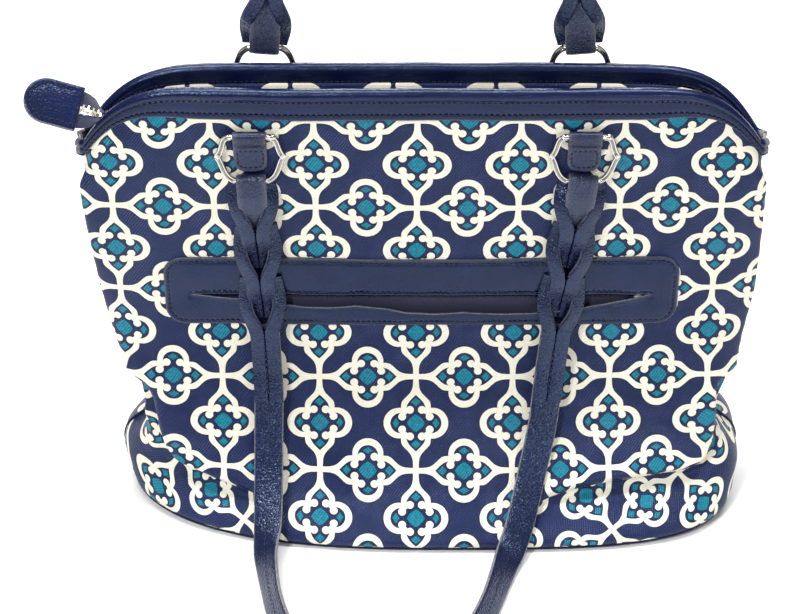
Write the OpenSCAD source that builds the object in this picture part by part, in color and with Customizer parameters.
// Soft satchel handbag: coated-canvas shell on a stiff base, leather rims
// around a recessed zip, a leather welt slit pocket and two braided
// shoulder handles on barbed metal rings.
// Origin at the centre of the base on the floor, +Z up, front faces -Y.

/* [Body] */
// Width across the two top corners
body_w = 400; // [370:5:430]
// Height of the rim above the floor
body_h = 292; // [280:1:310]
// Depth of the base from front to back
base_d = 158; // [150:1:162]
// Depth across the closed mouth
mouth_d = 32; // [30:1:36]
// How far the rim falls from its middle to its ends
end_drop = 38; // [25:1:42]
// Thickness of the coated canvas
skin = 1.4; // [1:0.1:1.6]

/* [Lining] */
// Gap between the outside of the canvas and the lining
lining_gap = 4.2; // [4:0.1:5]
// Thickness of the lining cloth
lining_t = 0.6; // [0.4:0.1:0.8]
// Thickness of the stiff board in the base
board_t = 2.2; // [1.5:0.1:3]

/* [Rim] */
// Radius of the rolled rim
bead_r = 3.4; // [3:0.1:4]
// Height of the flat strip under the roll, measured from the rim top
strip_h = 18.5; // [15:0.5:20]
// Radius of the cord inside the roll
cord_r = 1.9; // [1.5:0.1:2]

/* [Zip] */
// Height of the zip above the floor
zip_z = 266; // [264:0.5:268]
// Length of the toothed run from the middle to the left end of the mouth
zip_half = 168; // [150:3:171]
// Length of the toothed run from the middle to the right end of the mouth
zip_right = 150; // [144:3:168]
// Distance between neighbouring teeth of one side
tooth_pitch = 3; // [2.8:0.1:3.4]
// Length of the loose tail beyond the mouth
tail_len = 41; // [38:1:50]
// Width of the loose tail
tail_w = 27; // [24:1:30]
// Upward tilt of the loose tail, in degrees
tail_rise = 18; // [10:1:25]

/* [Pocket] */
// Width of the leather welt
welt_w = 312; // [260:2:320]
// Height of the leather welt
welt_h = 46; // [42:1:50]
// Height of the middle of the welt above the floor
welt_z = 153; // [148:1:158]
// Height of the slit
slit_h = 9; // [6:1:12]
// Length of the slit
slit_w = 276; // [220:2:280]

/* [Rings] */
// Distance from the middle of the bag to the front left ring
front_left_x = 100; // [90:1:105]
// Distance from the middle of the bag to the front right ring
front_right_x = 94; // [85:1:105]
// Distance from the middle of the bag to each back ring
back_x = 92; // [85:1:105]
// Height of the bars that carry the front rings
ring_z = 264; // [258:1:265]
// Height of the bars that carry the back rings
back_ring_z = 270; // [266:1:270]
// Radius of the ring's bars
bar_r = 1.5; // [1.2:0.1:1.8]
// Distance from the upper bar to the lower bar of a ring
ring_h = 29.5; // [28:0.5:33]
// Width of a leather ring tab
tab_w = 19.5; // [18:0.5:21]

/* [Handles] */
// Width of the flat strap
strap_w = 18; // [16:0.5:20]
// Thickness of the flat strap
strap_t = 3; // [2.4:0.1:3.4]
// Length of the braided part of a handle
braid_len = 153; // [145:1:160]
// Rise of the strap above the braids of the upright handle
arch_h = 211; // [190:1:230]
// Tilt of the upright handle out of the vertical, in degrees
lean = 3; // [2:0.5:6]

/* [Hidden] */
$fn = 48;
canvas = "#3b4a86";
leather = "#232a52";
cloth = "#c9b79a";
metal = "#c9c9cc";
brass = "#d8c89a";

// ---- Shared helpers ----

function clamp(value) = max(0, min(1, value));
function smooth(value) = let (part = clamp(value)) part * part * (3 - 2 * part);
function safe_pow(value, power) = value <= 0 ? 0 : pow(value, power);
function signed_pow(value, power) = (value < 0 ? -1 : 1) * safe_pow(abs(value), power);

// unit vector in plan, to the right of the way between two points
function side_normal(from, to) =
    let (dx = to[0] - from[0], dy = to[1] - from[1]) [dy, -dx] / norm([dx, dy]);
function side_normals(path) = [for (i = [0:len(path) - 1])
    side_normal(path[max(0, i - 1)], path[min(len(path) - 1, i + 1)])];
// closed outline around a middle line, given the offset to one side at each point
function ribbon(middle, offsets) = concat(
    [for (i = [0:len(middle) - 1]) middle[i] + offsets[i]],
    [for (i = [len(middle) - 1:-1:0]) middle[i] - offsets[i]]);
function even_ribbon(middle, thickness) = ribbon(middle, thickness / 2 * side_normals(middle));
function arc(radius, angles) = [for (a = angles) radius * [cos(a), sin(a)]];

// four-cornered face as two triangles
function quad(a, b, c, d) = [[a, b, c], [a, c, d]];

// a closed sheet between two grids of points
module sheet(outer, inner) {
    rows = len(outer);
    cols = len(outer[0]);
    function id(layer, row, col) = (layer * rows + row) * cols + col;
    faces = concat(
        [for (i = [0:rows - 2], j = [0:cols - 2]) each concat(
            quad(id(0, i, j), id(0, i + 1, j), id(0, i + 1, j + 1), id(0, i, j + 1)),
            quad(id(1, i, j), id(1, i, j + 1), id(1, i + 1, j + 1), id(1, i + 1, j)))],
        [for (j = [0:cols - 2], last = [rows - 1]) each concat(
            quad(id(0, 0, j), id(0, 0, j + 1), id(1, 0, j + 1), id(1, 0, j)),
            quad(id(0, last, j), id(1, last, j), id(1, last, j + 1), id(0, last, j + 1)))],
        [for (i = [0:rows - 2], last = [cols - 1]) each concat(
            quad(id(0, i, 0), id(1, i, 0), id(1, i + 1, 0), id(0, i + 1, 0)),
            quad(id(0, i, last), id(0, i + 1, last), id(1, i + 1, last), id(1, i, last)))]);
    polyhedron(points = [each each outer, each each inner], faces = faces, convexity = 8);
}

module to_front() { mirror([0, 1, 0]) children(); }
// extrude an [x, z] outline along Y, centred
module from_front(depth) {
    rotate([90, 0, 0]) linear_extrude(depth, center = true) children();
}
// extrude a [y, z] outline along X, right across both handles
module from_side() {
    translate([-150, 0, 0]) rotate([90, 0, 90]) linear_extrude(300) children();
}

// ---- Body shape ----
// A level is a fraction of the rim height, a turn runs from the right end (0)
// over the back (90) to the left end (180).

// distance of each half's edges from the plane y = 0
seam = 0.15;
// [level, fraction of half the body width]
HALF_WIDTHS = [
    [0, 0.95], [0.018, 0.97], [0.05, 0.99], [0.14, 0.985], [0.226, 0.92], [0.27, 0.9],
    [0.32, 0.91], [0.42, 0.96], [0.5, 0.985], [0.88, 1.01], [1, 1.01]];
// [level, half depth]
HALF_DEPTHS = [
    [0, 0.505 * base_d], [0.018, 0.54 * base_d], [0.05, 0.515 * base_d],
    [0.09, 0.43 * base_d], [0.14, 0.345 * base_d], [0.18, 0.286 * base_d],
    [0.226, 0.234 * base_d], [0.27, 0.193 * base_d], [0.32, 0.158 * base_d],
    [0.37, 0.135 * base_d], [0.42, 0.117 * base_d],
    [0.5, 0.51 * mouth_d], [1, 0.5 * mouth_d]];
WALL_LEVELS = [
    0.006, 0.018, 0.05, 0.09, 0.14, 0.18, 0.226, 0.27,
    0.32, 0.37, 0.42, 0.5, 0.62, 0.75, 0.88];
WALL_TURNS = [for (turn = [0:6:180]) turn];
panel_top = 0.97;
lining_top = 0.94;

// height of the rim at a fraction of the half width
function rim_z(part) = body_h - end_drop * pow(clamp((abs(part) - 0.6) / 0.375), 3.3);
function half_width(level) = body_w / 2 * lookup(level, HALF_WIDTHS);
function half_depth(level) = lookup(level, HALF_DEPTHS);
// exponent of the rounded plan: squarer towards the rim
function squareness(level) = 2.5 + 0.5 * smooth((level - 0.2) / 0.6);

// point of the body's back half, moved inward by inset
function wall(level, turn, inset) =
    let (power = 2 / squareness(level), across = signed_pow(cos(turn), power))
    [(half_width(level) - 1.5 * inset) * across,
     seam + (half_depth(level) - inset - seam) * safe_pow(abs(sin(turn)), power),
     rim_z(across) * level];
// stations are [level, inset]
function wall_grid(stations, turns) =
    [for (station = stations) [for (turn = turns) wall(station[0], turn, station[1])]];

// part of the body's back half between two insets
module wall_part(levels, turns, outer_inset, inner_inset) {
    sheet(wall_grid([for (level = levels) [level, outer_inset]], turns),
          wall_grid([for (level = levels) [level, inner_inset]], turns));
}

module canvas_wall() { wall_part([each WALL_LEVELS, panel_top], WALL_TURNS, 0, skin); }
module front_panel() {
    color(canvas) difference() {
        to_front() canvas_wall();
        at_welt() slit_outline();
    }
}
module back_panel() { color(canvas) canvas_wall(); }

module lining_wall() {
    levels = [for (i = [1:len(WALL_LEVELS) - 1]) WALL_LEVELS[i], lining_top];
    wall_part(levels, WALL_TURNS, lining_gap, lining_gap + lining_t);
}
module lining_front() { color(cloth) to_front() lining_wall(); }
module lining_back() { color(cloth) lining_wall(); }

// ---- Base ----

board_inset = 6;
board_z = skin + 0.4;
base_lining_z = board_z + board_t + 0.2;

// plan of the walls' lowest level, moved inward by inset
module base_plan(inset) {
    level = WALL_LEVELS[0];
    power = 2 / squareness(0);
    polygon([for (a = [0:4:356])
        [(half_width(level) - 1.3 * inset) * signed_pow(cos(a), power),
         (half_depth(level) - inset) * signed_pow(sin(a), power)]]);
}
module base_panel() { color(canvas) linear_extrude(skin) base_plan(0); }
module base_board() {
    color("dimgray") translate([0, 0, board_z]) linear_extrude(board_t) base_plan(board_inset);
}
module lining_base() {
    color(cloth) translate([0, 0, base_lining_z])
        linear_extrude(lining_t) base_plan(board_inset);
}

// ---- Rim ----

binding_t = 1.2;
// [outward, up] centre of the roll, from the top edge of the body
ROLL_CENTRE = [-0.7, -bead_r];
RIM_PATH = [for (turn = [12:6:168]) wall(1, turn, 0)];
function roll_arc(radius, angles) = [for (point = arc(radius, angles)) ROLL_CENTRE + point];
// [outward, up] leather folded over the top edge: outer strip, roll and inner leg
BINDING = concat(
    [[1.4, -strip_h]],
    roll_arc(bead_r, [-36:18:216]),
    [[-4, -6.5], [-4, -12], [-2.9, -12]],
    roll_arc(bead_r - binding_t, [216:-21:-36]),
    [[0.25, -6.4], [0.25, -strip_h]]);
CORD = roll_arc(cord_r, [0:45:315]);

// an [outward, up] profile carried along the rim
module rim_sweep(profile) {
    rows = len(RIM_PATH);
    cols = len(profile);
    normals = side_normals(RIM_PATH);
    points = [for (i = [0:rows - 1], spot = profile)
        RIM_PATH[i] + [normals[i][0] * spot[0], normals[i][1] * spot[0], spot[1]]];
    faces = concat(
        [for (i = [0:rows - 2], j = [0:cols - 1]) let (next = (j + 1) % cols) each quad(
            i * cols + j, i * cols + next, (i + 1) * cols + next, (i + 1) * cols + j)],
        [[for (j = [cols - 1:-1:0]) j]],
        [[for (j = [0:cols - 1]) (rows - 1) * cols + j]]);
    polyhedron(points = points, faces = faces, convexity = 10);
}
module front_rim_binding() { color(leather) to_front() rim_sweep(BINDING); }
module back_rim_binding() { color(leather) rim_sweep(BINDING); }
module front_rim_cord() { color("ivory") to_front() rim_sweep(CORD); }
module back_rim_cord() { color("ivory") rim_sweep(CORD); }

// ---- Zip ----

zip_panel_t = 1;
zip_panel_edge_y = 6.6;
tape_gap = 2.2;
tape_w = 3.3;
tape_t = 0.7;
// how far the tape runs past the toothed run
tape_over_left = 17;
tape_over_right = 10;
teeth_over_left = 15;
tooth_w = 1.3;
tooth_h = 2.4;

function mouth_y(x) =
    let (turn = acos(safe_pow(min(1, abs(x) / half_width(1)), squareness(1) / 2)))
    wall(1, turn, 0)[1];

// recessed strip, sagging a little, from the inside of the rim to the zip
module zip_panel() {
    sag = 1.2;
    top = [for (part = [0, 0.35, 0.7, 1]) [for (k = [-11:11]) let (
        x = k / 11 * (zip_half - 6),
        rim_y = mouth_y(x) - 5.7,
        start_z = max(rim_z(x / half_width(1)) - 17, zip_z - 2),
        end_z = zip_z + 1)
        [x, rim_y + (zip_panel_edge_y - rim_y) * part,
         start_z + (end_z - start_z) * part - sag * sin(180 * part)]]];
    under = [for (row = top) [for (point = row) point - [0, 0, zip_panel_t]]];
    sheet(top, under);
}
module zip_panel_front() { color(canvas) to_front() zip_panel(); }
module zip_panel_back() { color(canvas) zip_panel(); }

module zip_tape() {
    translate([-zip_half - tape_over_left, tape_gap, zip_z])
        cube([zip_half + zip_right + tape_over_left + tape_over_right, tape_w, tape_t]);
}
module zip_tape_front() { color(leather) to_front() zip_tape(); }
module zip_tape_back() { color(leather) zip_tape(); }

module zip_teeth(shift) {
    for (x = [-zip_half - teeth_over_left + shift:tooth_pitch:zip_right])
        translate([x - tooth_w / 2, 0.25, zip_z - 0.9]) cube([tooth_w, 1.85, tooth_h]);
}
module zip_teeth_front() { color(brass) to_front() zip_teeth(0); }
module zip_teeth_back() { color(brass) zip_teeth(tooth_pitch / 2); }
module zip_end_stop() {
    color(metal) translate([zip_right + 2.5, -2.1, zip_z - 1]) cube([3, 4.2, 2.6]);
}

// ---- Slider and pull ----

slider_x = zip_right - 10;
slider_plate_t = 1.2;
// height of the pull's axle above the zip
axle_z = 4.5;
axle_hole_r = 0.95;
axle_r = 0.85;
pull_t = 2 * axle_r;
pull_start = 7;
pull_len = 18;
pull_r = 3.5;
pull_hole_r = 1.5;

module slider_plan() {
    polygon([
        [-5.5, -3], [-5.5, 3], [1, 4.3], [5, 4.3],
        [5.5, 3.4], [5.5, -3.4], [5, -4.3], [1, -4.3]]);
}
module zip_slider() {
    color(metal) translate([slider_x, 0, zip_z]) difference() {
        union() {
            for (z = [1.7, -2.4]) translate([0, 0, z])
                linear_extrude(slider_plate_t) slider_plan();
            // web between the plates
            translate([-2.5, -0.17, -1.3]) cube([7, 0.34, 3.1]);
            // lug for the pull
            translate([-3, -1.2, 2.6]) cube([6, 2.4, 3.4]);
        }
        translate([0, 0, axle_z]) rotate([90, 0, 0])
            cylinder(r = axle_hole_r, h = 8, center = true);
    }
}
// axle, two arms and a round-ended blade pointing left
module zip_pull() {
    arm_w = 1.2;
    color(metal) translate([slider_x, 0, zip_z + axle_z]) {
        rotate([90, 0, 0]) cylinder(r = axle_r, h = 5, center = true);
        for (side = [-1, 1]) translate([-pull_start, side * 2.1 - arm_w / 2, -pull_t / 2])
            cube([pull_start + axle_r, arm_w, pull_t]);
        translate([-pull_start, 0, 0]) difference() {
            linear_extrude(pull_t, center = true) union() {
                translate([-pull_len, -pull_r]) square([pull_len, 2 * pull_r]);
                translate([-pull_len, 0]) circle(r = pull_r);
            }
            translate([-pull_len, 0, 0]) cylinder(r = pull_hole_r, h = 4, center = true);
        }
    }
}

// ---- Zip tail ----

tail_tape_start = 3.5;
tail_tape_gap = 2.3;
tail_tooth_d = 1.9;
tail_tooth_gap = 0.2;
tail_tab_start = 15;
tail_tab_t = 1.5;
// clearance of each tab from the middle plane of the tail
tail_tab_gap = 0.45;

// the tail's own frame: +X runs outward along the tail
module tail_frame() {
    translate([-zip_half - 19, 0, zip_z + 0.4])
        rotate([0, 0, 180]) rotate([0, -tail_rise, 0]) children();
}
module zip_tail_tape() {
    color(leather) tail_frame() for (y = [-tail_w / 2, tail_tape_gap])
        translate([tail_tape_start, y, -tape_t / 2])
            cube([tail_len - 10.5, tail_w / 2 - tail_tape_gap, tape_t]);
}
module tail_tooth(x, y) {
    translate([x, y, -tooth_h / 2]) cube([tooth_w, tail_tooth_d, tooth_h]);
}
module zip_tail_teeth() {
    color(brass) tail_frame() for (k = [0:3]) {
        tail_tooth(2 + k * tooth_pitch, tail_tooth_gap);
        tail_tooth(2 + (k + 0.5) * tooth_pitch, -tail_tooth_gap - tail_tooth_d);
    }
}
module tail_tab(z) {
    radius = tail_w / 2;
    color(leather) tail_frame() translate([0, 0, z]) linear_extrude(tail_tab_t) union() {
        translate([tail_tab_start, -radius])
            square([tail_len - tail_tab_start - radius, tail_w]);
        translate([tail_len - radius, 0]) circle(r = radius, $fn = 64);
    }
}
module zip_tail_tab_top() { tail_tab(tail_tab_gap); }
module zip_tail_tab_under() { tail_tab(-tail_tab_gap - tail_tab_t); }

// ---- Front slit pocket ----

welt_corner_r = 12;
slit_corner_r = 4;
// drops below the middle of the welt
slit_drop = 7;
lip_drop = 9.4;
lip_h = 3;
WELT_TURNS = [for (turn = [24:6:156]) turn];
LIP_LEVELS = [0.37, 0.42, 0.5, 0.62];
POCKET_TURNS = [for (turn = [138:-6:42]) turn];
POCKET_LEVELS = [0.5, 0.42, 0.37, 0.32, 0.27];

module rounded(width, height, radius) {
    union() {
        square([width - 2 * radius, height], center = true);
        square([width, height - 2 * radius], center = true);
        for (x = [-1, 1], y = [-1, 1])
            translate([x * (width / 2 - radius), y * (height / 2 - radius)])
                circle(r = radius);
    }
}
module at_welt() { translate([0, 0, welt_z]) from_front(80) children(); }
module slit_outline() { translate([0, -slit_drop]) rounded(slit_w, slit_h, slit_corner_r); }
module pocket_welt() {
    color(leather) intersection() {
        to_front() wall_part([each LIP_LEVELS, 0.66], WELT_TURNS, -1.75, -0.35);
        at_welt() difference() {
            rounded(welt_w, welt_h, welt_corner_r);
            slit_outline();
        }
    }
}
// lower lip of the slit, set back into the opening
module pocket_lip() {
    color(leather) intersection() {
        to_front() wall_part(LIP_LEVELS, WELT_TURNS, 0.2, 1.2);
        at_welt() translate([0, -lip_drop]) square([slit_w - 6, lip_h], center = true);
    }
}
// [level, inset] stations down the near ply, round the fold and up the far ply
function pocket_face(near, far, fold_level) = concat(
    [for (level = POCKET_LEVELS) [level, near]],
    [[fold_level, near], [fold_level, far]],
    [for (k = [len(POCKET_LEVELS) - 1:-1:0]) [POCKET_LEVELS[k], far]]);
// one cloth folded at its lower edge: a ply behind the canvas and a ply before the lining
module pocket_bag() {
    color(cloth) to_front() sheet(
        wall_grid(pocket_face(1.8, 3.8, 0.222), POCKET_TURNS),
        wall_grid(pocket_face(2.3, 3.3, 0.23), POCKET_TURNS));
}

// ---- Ring tabs ----

back_bar_y = mouth_d / 2 + 3.8;
front_bar_y = -back_bar_y;
// radius of the hole that takes a bar
bar_hole_r = bar_r + 0.15;
tab_r = 3.1;

// leather tab seen from the side, bar at [0, 0], reaching down by drop
module tab_side(drop) {
    difference() {
        polygon(concat(
            [[0.3, -drop], [tab_r, -drop]], arc(tab_r, [0:10:220]), [[-1, -7], [0.3, -11]]));
        circle(r = bar_hole_r);
    }
}
module ring_tab(x, z, drop) {
    color(leather) translate([x - tab_w / 2, front_bar_y, z])
        rotate([90, 0, 90]) linear_extrude(tab_w) tab_side(drop);
}
module front_ring_tab_left() { ring_tab(-front_left_x, ring_z, 24); }
module front_ring_tab_right() { ring_tab(front_right_x, ring_z, 24); }
module back_ring_tab_left() { mirror([0, 1, 0]) ring_tab(-back_x, back_ring_z, 30); }
module back_ring_tab_right() { mirror([0, 1, 0]) ring_tab(back_x, back_ring_z, 30); }

// ---- Rings ----

cheek_half_w = 1.5;
cheek_depth = 2.6;
// ring height at which the cheek curves are drawn
cheek_drawn_h = 29.5;
// [x, z] control points of the right cheek's two curves, which meet in a cusp
CHEEK_CURVES = [
    [[11.2, 0], [17.6, 0.4], [14.8, -8], [19.4, -13.2]],
    [[19.4, -12.6], [16.4, -16.6], [16.8, -27], [9.7, -29.5]]];
// the first curve's upper two points keep their height when the ring is stretched
function stretch(point) = [point[0], point[1] * (point[1] < 0 ? ring_h / cheek_drawn_h : 1)];

function bezier(controls, t) =
    pow(1 - t, 3) * controls[0] + 3 * pow(1 - t, 2) * t * controls[1]
    + 3 * (1 - t) * t * t * controls[2] + pow(t, 3) * controls[3];
module curved_band(controls, half_w) {
    steps = [for (k = [0:10]) k / 10];
    polygon(ribbon(
        [for (t = steps) bezier(controls, t)],
        [for (t = steps) half_w * side_normal(
            bezier(controls, max(0, t - 0.01)), bezier(controls, min(1, t + 0.01)))]));
}
// barbed ring: an upper bar, a lower bar and two cusped cheeks, hanging from [0, 0, 0]
module ring() {
    color(metal) {
        rotate([0, 90, 0]) cylinder(r = bar_r, h = 26, center = true);
        translate([0, 0, -ring_h]) rotate([0, 90, 0]) cylinder(r = bar_r, h = 21, center = true);
        // knob at the right end of the upper bar
        translate([13.6, 0, 0]) sphere(r = 2.1, $fn = 24);
        from_front(cheek_depth) for (side = [-1, 1]) scale([side, 1])
            for (curve = CHEEK_CURVES)
                curved_band([for (point = curve) stretch(point)], cheek_half_w);
    }
}
module front_ring(x) { translate([x, front_bar_y, ring_z]) ring(); }
module back_ring(x) { translate([x, back_bar_y, back_ring_z]) rotate([180 - lean, 0, 0]) ring(); }
module front_ring_left() { front_ring(-front_left_x); }
module front_ring_right() { front_ring(front_right_x); }
module back_ring_left() { back_ring(-back_x); }
module back_ring_right() { back_ring(back_x); }

// ---- Braids ----

braid_loop_r = 3.2;
// distances along the braid of the pointed openings
BRAID_OPENINGS = [38, 76];

// half width at the distance s from the ring's bar: loop, flare, wavy plait, lapped end
function braid_half(s) =
    s < 12 ? 8.6
    : s < 22 ? 8.6 + (s - 12) * 0.45
    : s < 118 ? 12.6 + 1.9 * sin((s - 22) * 9.5)
    : 8.8;
// outline seen from the front; z_step is the change of height per unit of s
module braid_front(start_x, end_x, z_step) {
    function middle(s) =
        [start_x + (end_x - start_x) * max(0, s) / braid_len, z_step * s];
    distances = [for (s = [-5:3:braid_len - 0.01]) s, braid_len];
    difference() {
        polygon(ribbon([for (s = distances) middle(s)],
                       [for (s = distances) [-braid_half(s), 0]]));
        for (s = BRAID_OPENINGS)
            polygon([middle(s) - [2.4, 0], middle(s) + [2.4, 0], middle(s + 9)]);
    }
}
// outline seen from the side: a loop round the bar at [0, 0], then the braid along
// its stations of [y, z, half thickness]; turn is 0 for hanging, 180 for standing
module braid_side(stations, turn) {
    difference() {
        polygon(concat(
            arc(braid_loop_r, [for (a = [0:10:180]) a + turn]),
            ribbon([for (station = stations) [station[0], station[1]]],
                   [for (station = stations) [-station[2] * cos(turn), 0]])));
        circle(r = bar_hole_r);
    }
}

// ---- Front handle, hanging down to the floor ----

low_bar_z = ring_z - ring_h;
front_drop = 143;
front_end_z = low_bar_z - front_drop;
// [y, z, half thickness] from the ring's lower bar
FRONT_BRAID = [
    [-1, -6, 3.4], [-1.8, -14, 4], [-2.3, -45, 4], [-3.6, -78, 4],
    [-5.9, -104, 4], [-10.8, -128, 3.2], [-16.4, -front_drop, 3]];
// x of the handle's middle line at the ring, at the braid's end and at the floor
LEFT_X = [-front_left_x, -front_left_x + 6, -front_left_x + 4.5];
RIGHT_X = [front_right_x, front_right_x - 16, front_right_x - 37];
// [y, z] of the strap from the bar's y and the braid's end height
foot_reach = 70;
LEG_PATH = [[-16.6, -0.4], [-25, -21], [-39, -48], [-60, -73], [-foot_reach, -82]];
leg_cut_drop = 86;

module front_braid(side_x) {
    color(leather) intersection() {
        from_side() translate([front_bar_y, low_bar_z]) braid_side(FRONT_BRAID, 0);
        translate([0, 0, low_bar_z]) from_front(200)
            braid_front(side_x[0], side_x[1], -front_drop / braid_len);
    }
}
module front_braid_left() { front_braid(LEFT_X); }
module front_braid_right() { front_braid(RIGHT_X); }

module front_strap_legs() {
    half = [strap_w / 2, 0];
    color(leather) for (side_x = [LEFT_X, RIGHT_X]) intersection() {
        from_side() translate([front_bar_y, front_end_z])
            polygon(ribbon(LEG_PATH, [for (point = LEG_PATH) [strap_t * 0.55, 0]]));
        from_front(300) polygon(ribbon(
            [[side_x[1], front_end_z], [side_x[2], front_end_z - leg_cut_drop]],
            [-half, -half]));
    }
}
// the loop lies on the floor on its edge in front of the bag
module front_strap_loop() {
    start_y = front_bar_y - foot_reach - 4;
    reach = 113;
    middle_x = (LEFT_X[2] + RIGHT_X[2]) / 2;
    half_span = (RIGHT_X[2] - LEFT_X[2]) / 2;
    middle = [for (a = [0:5:180])
        [middle_x + half_span * signed_pow(cos(a), 0.8) * (1 - 0.14 * abs(sin(a))),
         start_y - reach * safe_pow(sin(a), 0.9)]];
    color(leather) translate([0, 0, 0.4])
        linear_extrude(strap_w) polygon(even_ribbon(middle, strap_t));
}

// ---- Back handle, standing on the raised back rings ----

// [y, z, half thickness] from the ring's raised bar
BACK_BRAID = [
    [0, 7, 3.2], [0, 14, 4], [0, 122, 4], [0, 130, 3], [0, braid_len, 3]];
// half the distance between the ends of the arch
arch_x = back_x - 12;

module back_frame() {
    translate([0, back_bar_y, back_ring_z]) rotate([-lean, 0, 0])
        translate([0, 0, ring_h]) children();
}
module back_braid(side) {
    color(leather) back_frame() intersection() {
        from_side() braid_side(BACK_BRAID, 180);
        from_front(60) braid_front(side * back_x, side * arch_x, 1);
    }
}
module back_braid_left() { back_braid(-1); }
module back_braid_right() { back_braid(1); }

// broad over the first stretch, then turned edge-on over the arch
module back_strap() {
    half = [strap_w / 2, 0];
    middle = [for (a = [0:5:180])
        [arch_x * cos(a) * (1 - 0.06 * sin(a)), arch_h * safe_pow(sin(a), 0.92)]];
    color(leather) back_frame() translate([0, 0, braid_len + 0.5]) {
        from_front(strap_w) difference() {
            polygon(even_ribbon(middle, strap_t));
            translate([-150, -1]) square([300, 30]);
        }
        for (side = [-1, 1]) from_front(strap_t) polygon(ribbon(
            [[side * arch_x, 0], [side * (arch_x - 1), 46]], [-half, -half]));
    }
}

front_panel();
back_panel();
base_panel();
base_board();
lining_front();
lining_back();
lining_base();
front_rim_binding();
back_rim_binding();
front_rim_cord();
back_rim_cord();
zip_panel_front();
zip_panel_back();
zip_tape_front();
zip_tape_back();
zip_teeth_front();
zip_teeth_back();
zip_end_stop();
zip_slider();
zip_pull();
zip_tail_tape();
zip_tail_teeth();
zip_tail_tab_top();
zip_tail_tab_under();
pocket_welt();
pocket_lip();
pocket_bag();
front_ring_tab_left();
front_ring_tab_right();
back_ring_tab_left();
back_ring_tab_right();
front_ring_left();
front_ring_right();
back_ring_left();
back_ring_right();
front_braid_left();
front_braid_right();
back_braid_left();
back_braid_right();
front_strap_legs();
front_strap_loop();
back_strap();
